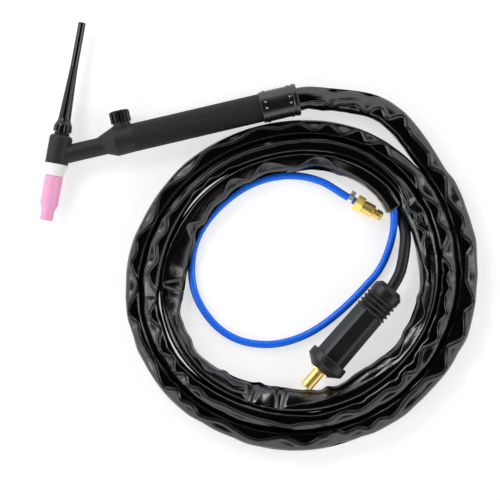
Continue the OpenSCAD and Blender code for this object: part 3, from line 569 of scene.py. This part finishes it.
# %% Sleeve skin
ON_BENCH_FROM, SKIN_GAP, GREATEST_REACH = 60, 0.3, 17.2
not_below = up_part > -0.3
inward = -across + ripple * np.clip(-out_part, 0, 1) ** 3 * not_below
inward = inward - bulges * np.clip(out_part, 0, 1) ** 3 * not_below
lift = half_h[:, None] * up_part - drop
lowest = SKIN_GAP - sleeve_line[:, 2:3] / MM
lift = np.where(s > ON_BENCH_FROM, np.maximum(lift, lowest), lift)
shorten = np.minimum(1, GREATEST_REACH / np.sqrt(inward**2 + lift**2))
skin = (sleeve_line[:, None, :] + MM * ((inward * shorten)[:, :, None] * side[:, None, :]
                                        + (lift * shorten)[:, :, None] * up[:, None, :]))
reach = shorten * np.hypot(inward, lift)
print("widest reach from the line:", round(float(reach.max()), 1), "mm")

# %% [markdown]
# ## A mouth with thickness
# The sleeve ends in an open cut. A bare edge would look like paper, so the last rings are repeated
# a little smaller and turn back inside, and the skin shows its 0.9 mm.

# %% Turn the skin in at the mouth
SKIN_THICK = 0.0009
BACK_INSIDE = (0, 1, 2, 4, 7, 11)
inside = []
for back in BACK_INSIDE:
    ring, centre = skin[-1 - back], sleeve_line[-1 - back]
    away = ring - centre
    inside.append(centre + away * (1 - SKIN_THICK / np.linalg.norm(away, axis=1))[:, None])
skin = np.concatenate([skin, np.array(inside)])
skin_along = np.concatenate([sleeve_along,
                             sleeve_along[-1] + MM * np.arange(1, len(BACK_INSIDE) + 1)])
sleeve = swept_mesh("sleeve_skin", skin, skin_along, close_end=False)
print("sleeve skin:", len(sleeve.data.vertices), "points")

# %% [markdown]
# ## The power lead
# The power lead is stiff rubber over copper: short, thick, bending once, from the sleeve's mouth
# up to the plug that rests on the bench. A curve object with a bevel would do, but a swept mesh
# keeps the lead's own length in its UV.

# %% Power lead
CABLE_R, CABLE_SIDES, CABLE_STEP = 0.006, 32, 0.0025
PLUG_TIP, PLUG_ANGLE, PLUG_HEIGHT = (197.4, -295.6), math.radians(35.9), 22.0
INWARD = (math.sin(MOUTH_TURN), -math.cos(MOUTH_TURN))


def round_tube(name, line, radius, sides):
    side, up = frames_along(line)
    turn = np.arange(sides) * 2 * np.pi / sides
    rings = (line[:, None, :] + radius * (np.cos(turn)[None, :, None] * side[:, None, :]
                                          + np.sin(turn)[None, :, None] * up[:, None, :]))
    return swept_mesh(name, rings, distances(line))


def in_mouth(sideways, above):
    """A point in the mouth: millimetres towards the coil's middle, and above the mouth's centre."""
    return place(MOUTH[0] + sideways * INWARD[0], MOUTH[1] + sideways * INWARD[1],
                 MOUTH[2] + above)


def from_plug(u):
    """A point on the plug's axis, `u` millimetres from its tip."""
    return place(PLUG_TIP[0] + u * math.cos(PLUG_ANGLE), PLUG_TIP[1] + u * math.sin(PLUG_ANGLE),
                 PLUG_HEIGHT)


CABLE_EXIT = in_mouth(-1.1, -4.3)
UP_TO_PLUG = [(335.2, -140.4, 9.1), (336.8, -148.1, 10), (337.3, -155.9, 11.6),
              (336.4, -163.6, 13.7), (334.5, -171, 16), (330.4, -181.9, 18.9),
              (325.6, -192.8, 20.8), (319.6, -203.2, 21.8)]
cable_line = smooth_route([place(last_x, last_y, 11.4), CABLE_EXIT]
                          + [place(*p) for p in UP_TO_PLUG]
                          + [from_plug(u) for u in (137.2, 124, 110, 96, 80, 62.4)], CABLE_STEP)
power_lead = round_tube("power_lead", cable_line, CABLE_R, CABLE_SIDES)

# %% [markdown]
# ## The gas hose
# The gas hose is limp, so it makes a wide loop on the bench and comes back to rest in front of the
# mouth. A hanging hose would be simulated; one that lies on a table is easier to lay out one by
# one, as points a little more than its own radius above the bench.

# %% Gas hose
HOSE_R, HOSE_SIDES, HOSE_STEP, ON_BENCH = 0.004, 32, 0.0015, 4.2
NOSE_TIP, NOSE_ANGLE, NOSE_HEIGHT = (317, -140.5), math.radians(136.5), 10.01


def from_nose(u):
    """A point on the gas fitting's axis, `u` millimetres from its nose."""
    return place(NOSE_TIP[0] + u * math.cos(NOSE_ANGLE), NOSE_TIP[1] + u * math.sin(NOSE_ANGLE),
                 NOSE_HEIGHT)


HOSE_EXIT = in_mouth(2.2, 5.6)
OUT_OF_MOUTH = [(328.8, -141.5, 17.8), (327.5, -149, 15.4), (325.6, -156, 12.3),
                (323, -162.9, 9.2), (319.7, -169.8, 6.7), (315.9, -176.6, 5.1),
                (311.5, -183.2, 4.4)]
LOOP = [(306.5, -189.5), (298.2, -197.7), (286.7, -205.8), (277, -212.4), (264.8, -220.2),
        (250.5, -228.2), (233, -236.4), (214, -242.8), (193.5, -246), (174, -245.2),
        (157, -240.8), (142.8, -234.2), (131.6, -225.8), (122, -215), (114.8, -202.4),
        (109.5, -188.7), (106.6, -174), (106.9, -159), (109.9, -144.3), (115, -130.2),
        (122.5, -117.4), (132.2, -106.4), (143.2, -97.2), (155.1, -89.4), (167.9, -82.9),
        (180.8, -78), (193.9, -74.8)]
UP_TO_FITTING = [(207.3, -73.4, 4.3), (221, -73.8, 4.5), (234, -76, 5), (246.2, -80, 6),
                 (257.6, -85.8, 7.4), (268, -93.2, 8.9)]
hose_line = smooth_route([place(last_x, last_y, 21.6), HOSE_EXIT]
                         + [place(*p) for p in OUT_OF_MOUTH]
                         + [place(x, y, ON_BENCH) for x, y in LOOP]
                         + [place(*p) for p in UP_TO_FITTING]
                         + [from_nose(u) for u in (47.8, 40.8, 32.8)], HOSE_STEP)
gas_line = round_tube("gas_line", hose_line, HOSE_R, HOSE_SIDES)

# %% Are the bends possible?
def tightest(line):
    """Radius of the sharpest bend, from circles through every fourth point."""
    a, b, c = line[:-8], line[4:-4], line[8:]
    twice_area = np.linalg.norm(np.cross(b - a, c - a), axis=1)
    sides = [np.linalg.norm(q, axis=1) for q in (b - a, c - b, a - c)]
    return float(np.min(sides[0] * sides[1] * sides[2] / (2 * np.maximum(twice_area, 1e-12))))


print("tightest bends, mm:", round(tightest(cable_line) / MM), round(tightest(hose_line) / MM))

# %% [markdown]
# ## Leads inside the sleeve
# Both leads go on out of sight from the mouth back to the handle. Nobody sees them whole, yet a
# sleeve cut open should not be empty. They are drawn about half as thick as they are, so that no
# fold of the skin cuts into them.

# %% Leads inside the sleeve
inner_rows = slice(13, len(sleeve_line) - 10)
INNER_STEP, INNER_SIDES = 0.006, 8
# (name, radius, distance towards the coil's middle, height from the sleeve's line), in metres.
INNER_LEADS = [("power_lead_in_sleeve", 0.003, 0.0022, -0.006),
               ("gas_line_in_sleeve", 0.002, -0.0031, -0.006)]
hidden = {}
for name, radius, sideways, above in INNER_LEADS:
    line = sleeve_line + side * sideways + np.array([0, 0, above])
    hidden[name] = round_tube(name, evenly(line[inner_rows], INNER_STEP), radius, INNER_SIDES)
print("hidden leads:", sorted(hidden))

# %% [markdown]
# ## Soft pieces ride with the torch
# The sleeve, both leads and the hose, outside and inside the sleeve, are hung on the torch's body
# so that they move with it, and the torch's solid sheath, power cable and gas hose are hidden. The
# plug and the fitting keep their solid shapes.

TORCH = "torch"
for piece, slot in [(sleeve, "sheath"), (power_lead, "cable"), (gas_line, "hose"),
                    (hidden["power_lead_in_sleeve"], "cable"),
                    (hidden["gas_line_in_sleeve"], "hose")]:
    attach(piece, TORCH)
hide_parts("sheath")
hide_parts("power_cable")
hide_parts("gas_hose")

# %% [markdown]
# ## Colour and nodes
# Colours are written as a designer reads them, in sRGB hex, and turned to linear by one function.
# One more function adds a shader node with its settings and its links, and three short ones set
# what nearly every finish has: two shades, a varying gloss and a relief. Each material below then
# reads as a short recipe.

# %% Helpers for materials
def colour(code):
    parts = [int(code[i:i + 2], 16) / 255 for i in (1, 3, 5)]
    return tuple(c / 12.92 if c <= 0.04045 else ((c + 0.055) / 1.055) ** 2.4 for c in parts) + (1,)


def add(tree, kind, settings=None, links=None):
    """Adds one node, sets its own options or its inputs' values, and links its inputs."""
    made = tree.nodes.new("ShaderNode" + kind)
    for name, value in (settings or {}).items():
        if isinstance(name, str) and hasattr(made, name):
            setattr(made, name, value)
        else:
            made.inputs[name].default_value = value
    for name, source in (links or {}).items():
        tree.links.new(source, made.inputs[name])
    return made


def recipe(name, **surface):
    """A new material: returns it, its tree, its shader and the object's own millimetres."""
    made = bpy.data.materials.new(name)
    made.use_nodes = True
    tree = made.node_tree
    tree.nodes.clear()
    shader = add(tree, "BsdfPrincipled", {k.replace("_", " "): v for k, v in surface.items()})
    add(tree, "OutputMaterial", links={"Surface": shader.outputs[0]})
    spot = add(tree, "TexCoord")
    metres = add(tree, "Mapping", {"Scale": (1000, 1000, 1000)}, {"Vector": spot.outputs["Object"]})
    return made, tree, shader, metres.outputs[0]


def wear(piece, material):
    piece.data.materials.clear()
    piece.data.materials.append(material)


print("mid grey is", round(colour("#808080")[0], 3), "linear")

# %% Two shades, gloss and relief
def noise(tree, where, scale, detail, distortion=0.0):
    """Cloudy noise; `scale` is in hills per millimetre."""
    settings = {"Scale": scale, "Detail": detail, "Distortion": distortion}
    return add(tree, "TexNoise", settings, {"Vector": where}).outputs[0]


def shades(tree, shader, first, second, amount):
    mix = add(tree, "Mix", {"data_type": "RGBA", 6: colour(first), 7: colour(second)}, {0: amount})
    tree.links.new(mix.outputs[2], shader.inputs["Base Color"])


def gloss(tree, shader, least, most, amount):
    varied = add(tree, "MapRange", {"To Min": least, "To Max": most}, {"Value": amount})
    tree.links.new(varied.outputs[0], shader.inputs["Roughness"])


def relief(tree, shader, height, strength, distance):
    """A bump on top of any relief that the shader already has."""
    bump = add(tree, "Bump", {"Strength": strength, "Distance": distance}, {"Height": height})
    normal = shader.inputs["Normal"]
    if normal.links:
        tree.links.new(normal.links[0].from_socket, bump.inputs["Normal"])
    tree.links.new(bump.outputs[0], normal)


print("helpers:", [helper.__name__ for helper in (noise, shades, gloss, relief)])

# %% [markdown]
# ## Sleeve: calendered soft vinyl
# The sleeve is plasticised PVC, rolled between polished cylinders. It is black right through,
# smooth to the touch with a very fine grain, and shines like wet rubber. Nearly all that is seen of
# it is reflection, so its own black is very dark and its gloss is fairly sharp. The grain is really
# about 0.1 mm; it is drawn at 0.9 mm, or it would not show.

# %% Vinyl
vinyl, t, shader, mm = recipe("calendered_black_vinyl", Base_Color=colour("#040405"),
                              Roughness=0.2, IOR=1.5, Specular_IOR_Level=0.7)
scuff = noise(t, mm, 0.035, 4.0)
gloss(t, shader, 0.15, 0.24, scuff)
shades(t, shader, "#010102", "#030304", scuff)
relief(t, shader, noise(t, mm, 1.1, 2.0), strength=0.06, distance=0.0002)
relief(t, shader, noise(t, mm, 0.16, 3.0, 0.6), strength=0.22, distance=0.001)
wear(sleeve, vinyl)
print(vinyl.name, "has", len(t.nodes), "nodes")

# %% [markdown]
# ## Power lead: extruded neoprene rubber
# Welding lead is covered in chloroprene rubber, drawn over the copper strands while hot. It is dull
# black with a faint satin line along its length, from the die. Noise stretched along the lead's UV
# gives that line.

# %% Neoprene
neoprene, t, shader, mm = recipe("extruded_neoprene", Base_Color=colour("#141416"),
                                 Roughness=0.42, IOR=1.5, Specular_IOR_Level=0.35)
uv = add(t, "UVMap", {"uv_map": "length"})
stretch = add(t, "Mapping", {"Scale": (60, 40, 1)}, {"Vector": uv.outputs[0]})
relief(t, shader, noise(t, stretch.outputs[0], 1.0, 2.0), strength=0.12, distance=0.0003)
for piece in (power_lead, hidden["power_lead_in_sleeve"]):
    wear(piece, neoprene)
print(neoprene.name, "has", len(t.nodes), "nodes")

# %% [markdown]
# ## Gas hose: clear blue PVC over a braid
# The hose is two layers of soft PVC with a polyester braid between them. The braid shows through
# the skin as rows of paler stitches. Seven strands each way cross every 3 mm, and each row is
# worked out from the hose's own length and turn, kept in its UV.

# %% Braided PVC
STRANDS, CROSSING = 7, 0.0030
braided, t, shader, mm = recipe("braided_blue_pvc", Roughness=0.22, IOR=1.53,
                                Specular_IOR_Level=0.3)
uv = add(t, "UVMap", {"uv_map": "length"})
parts = add(t, "SeparateXYZ", links={0: uv.outputs[0]})
strand = []
for way in (1, -1):
    wound = add(t, "Math", {"operation": "MULTIPLY", 1: float(STRANDS * way)},
                {0: parts.outputs[0]})
    steps = add(t, "Math", {"operation": "MULTIPLY_ADD", 1: 1 / CROSSING},
                {0: parts.outputs[1], 2: wound.outputs[0]})
    saw = add(t, "Math", {"operation": "FRACT"}, {0: steps.outputs[0]})
    off = add(t, "Math", {"operation": "SUBTRACT", 1: 0.5}, {0: saw.outputs[0]})
    away = add(t, "Math", {"operation": "ABSOLUTE"}, {0: off.outputs[0]})
    strand.append(add(t, "MapRange", {"interpolation_type": "SMOOTHSTEP", "From Min": 0.30,
                                      "From Max": 0.12}, {"Value": away.outputs[0]}))
crossed = add(t, "Math", {"operation": "MULTIPLY"},
              {0: strand[0].outputs[0], 1: strand[1].outputs[0]}).outputs[0]
shades(t, shader, "#0060f0", "#4a9cff", crossed)
relief(t, shader, crossed, strength=0.12, distance=0.0003)
for piece in (gas_line, hidden["gas_line_in_sleeve"]):
    wear(piece, braided)
print(braided.name, "has", len(t.nodes), "nodes")

# %% [markdown]
# ## Moulded blacks
# Five different blacks meet on this torch, and seals make a sixth. The head and handle are rubber
# with a fine spark-eroded grain; the cap and knob are hard phenolic, polished in the mould; the
# collar and its bands are shiny nylon; the plug's grip is matte rubber. One function makes them
# all, as they differ only in shade, gloss and grain. The grain is 0.2 mm on the real mould and is
# drawn coarser, about 1 to 2 mm, so that it shows.

# %% Dressing the solids, and moulded black
def dress(material, *names):
    """Puts a material on the solids with these names."""
    for name in names:
        wear(nodes[name], material)
    print(material.name, "is on:", ", ".join(names))


def moulded(name, dark, light, roughness, shine, grain_scale, grain_height):
    made, t, shader, mm = recipe(name, Roughness=roughness, IOR=1.5, Specular_IOR_Level=shine)
    cloud = noise(t, mm, 0.09, 4.0)
    shades(t, shader, dark, light, cloud)
    gloss(t, shader, roughness - 0.07, roughness + 0.07, cloud)
    relief(t, shader, noise(t, mm, grain_scale, 3.0), strength=0.5, distance=grain_height)
    return made


head_rubber = moulded("glass_filled_head_rubber", "#0c0d0e", "#1a1b1d", 0.58, 0.4, 0.55, 0.0003)
handle_rubber = moulded("ribbed_handle_rubber", "#050506", "#0d0e0f", 0.55, 0.3, 0.9, 0.0001)
phenolic = moulded("polished_phenolic", "#060506", "#0c0a0a", 0.16, 0.5, 0.5, 0.00003)
nylon = moulded("shiny_black_nylon", "#101012", "#19191c", 0.27, 0.75, 0.6, 0.00004)
grip_rubber = moulded("matte_grip_rubber", "#08090b", "#101115", 0.42, 0.45, 1.2, 0.00005)
nitrile = moulded("nitrile_seal_rubber", "#101010", "#181818", 0.6, 0.4, 0.8, 0.00003)
dress(head_rubber, "head_insulation")
dress(handle_rubber, "handle")
dress(phenolic, "back_cap", "valve_knob")
dress(nylon, "handle_collar", "front_band", "rear_band")
dress(grip_rubber, "plug_grip")
dress(nitrile, "cap_oring", "stem_oring")

# %% [markdown]
# ## Ribs on the handle
# The handle's skin is pressed with fine ribs that climb round it. They are too many to model, so
# they are a relief: the angle round the handle's axis plus the distance along it gives a sawtooth.
# There are 42 starts, and neighbouring ribs are 1.6 mm apart. The real ones are half as wide; they
# are drawn this coarse so that they show.

# %% Ribs
RIB_STARTS, RIBS_PER_MM, HANDLE_R = 42, 0.44, 15
t = handle_rubber.node_tree
shader = next(n for n in t.nodes if n.type == "BSDF_PRINCIPLED")
mm = next(n for n in t.nodes if n.type == "MAPPING").outputs[0]
from_axis = add(t, "Mapping", {"Location": (0, SCENE_ORIGIN[1], -HANDLE_HEIGHT)}, {"Vector": mm})
parts = add(t, "SeparateXYZ", links={0: from_axis.outputs[0]})
round_it = add(t, "Math", {"operation": "ARCTAN2"}, {0: parts.outputs[1], 1: parts.outputs[2]})
climb = add(t, "Math", {"operation": "MULTIPLY", 1: RIB_STARTS / (2 * math.pi)},
            {0: round_it.outputs[0]})
phase = add(t, "Math", {"operation": "MULTIPLY_ADD", 1: RIBS_PER_MM},
            {0: parts.outputs[0], 2: climb.outputs[0]})
saw = add(t, "Math", {"operation": "FRACT"}, {0: phase.outputs[0]})
rib = add(t, "Math", {"operation": "PINGPONG", 1: 0.5}, {0: saw.outputs[0]})
relief(t, shader, rib.outputs[0], strength=1.0, distance=0.001)
apart = 1 / math.hypot(RIBS_PER_MM, RIB_STARTS / (2 * math.pi * HANDLE_R))
print("a rib every", round(1 / RIBS_PER_MM, 1), "mm along the handle,", round(apart, 1), "mm apart")

# %% [markdown]
# ## Metals
# The gas fittings and the plug's pin are turned from free-cutting brass, the neck tube and the
# collet are copper, and the clips are stainless steel. A metal keeps the usual IOR; its colour, its
# roughness and the fine marks that the lathe tool leaves tell it apart. The real marks are 0.1 mm
# apart and are drawn about 0.7 mm apart, or they would not show.

# %% Metals
def turned_metal(name, bright, dull, roughness, ring_scale, ring_height):
    made, t, shader, mm = recipe(name, Metallic=1.0, Roughness=roughness)
    cloud = noise(t, mm, 0.35, 5.0)
    shades(t, shader, dull, bright, cloud)
    gloss(t, shader, roughness - 0.08, roughness + 0.1, cloud)
    relief(t, shader, noise(t, mm, ring_scale, 2.0), strength=0.25, distance=ring_height)
    return made


brass = turned_metal("turned_brass", "#ffe890", "#fcd070", 0.4, 1.5, 0.00004)
copper = turned_metal("drawn_copper", "#d08a5e", "#b06a42", 0.3, 1.2, 0.00004)
steel = turned_metal("stamped_stainless_steel", "#f6f6f6", "#e2e3e4", 0.45, 1.2, 0.00004)
dress(brass, "head_body", "collet_body", "cap_insert", "valve_block", "valve_bonnet", "valve_stem",
      "tail_adapter", "cable_nut", "plug_pin", "gas_nipple", "gas_nut")
dress(copper, "neck_tube", "collet", "cable_lug", "cable_ferrule")
dress(steel, "inner_hose_clamp", "band_clips", "plug_screws", "ear_clamp")

# %% [markdown]
# ## Nozzle and insulator
# The nozzle is pressed alumina, coloured pink by a little chromium and fired hard: chalky, with a
# silky face. The ring above it is white PTFE, which looks waxy because light goes a little way in.
# Both let a little light under their skin, by subsurface scattering.

# %% Ceramic and PTFE
alumina, t, shader, mm = recipe("pink_alumina_ceramic", Roughness=0.42, IOR=1.76,
                                Specular_IOR_Level=0.35, Subsurface_Weight=0.08,
                                Subsurface_Scale=0.001)
shades(t, shader, "#ee9ac6", "#f4add2", noise(t, mm, 0.25, 4.0))
relief(t, shader, noise(t, mm, 1.4, 2.0), strength=0.2, distance=0.00006)
dress(alumina, "ceramic_nozzle")

ptfe, t, shader, mm = recipe("white_ptfe", Roughness=0.38, IOR=1.35, Specular_IOR_Level=0.5,
                             Subsurface_Weight=0.25, Subsurface_Scale=0.002)
shades(t, shader, "#e6e6e8", "#f2f2f2", noise(t, mm, 0.3, 3.0))
dress(ptfe, "cup_gasket")
bare = [name for name, piece in nodes.items() if not piece.data.materials]
print("solids without a finish:", bare)

# %% [markdown]
# ## White table
# The table is white and shows pure white to the camera, yet keeps a faint shadow: part of its
# brightness is its own, part is the lamps'. Its own light is shown to the camera and to mirror
# rays only, so that it does not light the torch from below.

# %% White table
HALF_TABLE, OWN_LIGHT = 4, 0.62
table_mesh = bpy.data.meshes.new("table")
table_mesh.from_pydata([(-HALF_TABLE, -HALF_TABLE, 0), (HALF_TABLE, -HALF_TABLE, 0),
                        (HALF_TABLE, HALF_TABLE, 0), (-HALF_TABLE, HALF_TABLE, 0)], [],
                       [(0, 1, 2, 3)])
table = bpy.data.objects.new("table", table_mesh)
scene.collection.objects.link(table)
paper, t, shader, mm = recipe("white_table", Base_Color=(0.5, 0.5, 0.5, 1), Roughness=0.9,
                              Specular_IOR_Level=0.0, Emission_Color=(1, 1, 1, 1))
ray = add(t, "LightPath")
seen = add(t, "Math", {"operation": "MAXIMUM"},
           {0: ray.outputs["Is Camera Ray"], 1: ray.outputs["Is Glossy Ray"]})
seen = add(t, "Math", {"operation": "MAXIMUM"},
           {0: seen.outputs[0], 1: ray.outputs["Is Transmission Ray"]})
own = add(t, "Math", {"operation": "MULTIPLY", 1: OWN_LIGHT}, {0: seen.outputs[0]})
t.links.new(own.outputs[0], shader.inputs["Emission Strength"])
wear(table, paper)
print("table:", 2 * HALF_TABLE, "m wide")

# %% [markdown]
# ## Room and lamps
# Shiny black things show only what they mirror, so the room matters more than the lamps: bright
# all round at table height, and dark overhead where the camera would be. Three softboxes, one
# behind and one on each side, draw the long soft lights on the vinyl and the faint shadows.

# %% Room
# The sky's height is 0 at the table's level, 0.5 a third of the way up and 1 overhead.
BRIGHT_BELOW, DARK_ABOVE, BRIGHT, DARK = 0.42, 0.76, 1.6, 0.012
room = bpy.data.worlds.new("room")
scene.world = room
room.use_nodes = True
t = room.node_tree
t.nodes.clear()
way = add(t, "TexCoord")
height = add(t, "SeparateXYZ", links={0: way.outputs["Generated"]})
fade = add(t, "MapRange", {"interpolation_type": "SMOOTHSTEP", "From Min": BRIGHT_BELOW,
                           "From Max": DARK_ABOVE, "To Min": BRIGHT, "To Max": DARK},
           {"Value": height.outputs[2]})
sky = add(t, "Background", {"Color": (1, 1, 1, 1)}, {"Strength": fade.outputs[0]})
add(t, "OutputWorld", links={"Surface": sky.outputs[0]})
print("room:", BRIGHT, "near the table,", DARK, "overhead")

# %% Lamps
AIM = Vector((0.05, -0.15, 0))
# (name, where, width, height, watts)
SOFTBOXES = [("softbox_back", (-0.55, 0.75, 1.0), 0.9, 0.3, 7.2),
             ("softbox_left", (-1.05, -0.35, 0.9), 0.4, 0.9, 4.2),
             ("softbox_right", (1.15, -0.3, 0.9), 0.35, 0.9, 3.2)]
for name, spot, wide, tall, watts in SOFTBOXES:
    lamp = bpy.data.lights.new(name, "AREA")
    lamp.shape, lamp.size, lamp.size_y, lamp.energy = "RECTANGLE", wide, tall, watts
    softbox = bpy.data.objects.new(name, lamp)
    softbox.location = spot
    softbox.rotation_euler = (AIM - Vector(spot)).to_track_quat("-Z", "Y").to_euler()
    scene.collection.objects.link(softbox)
scene.view_settings.view_transform = "Standard"
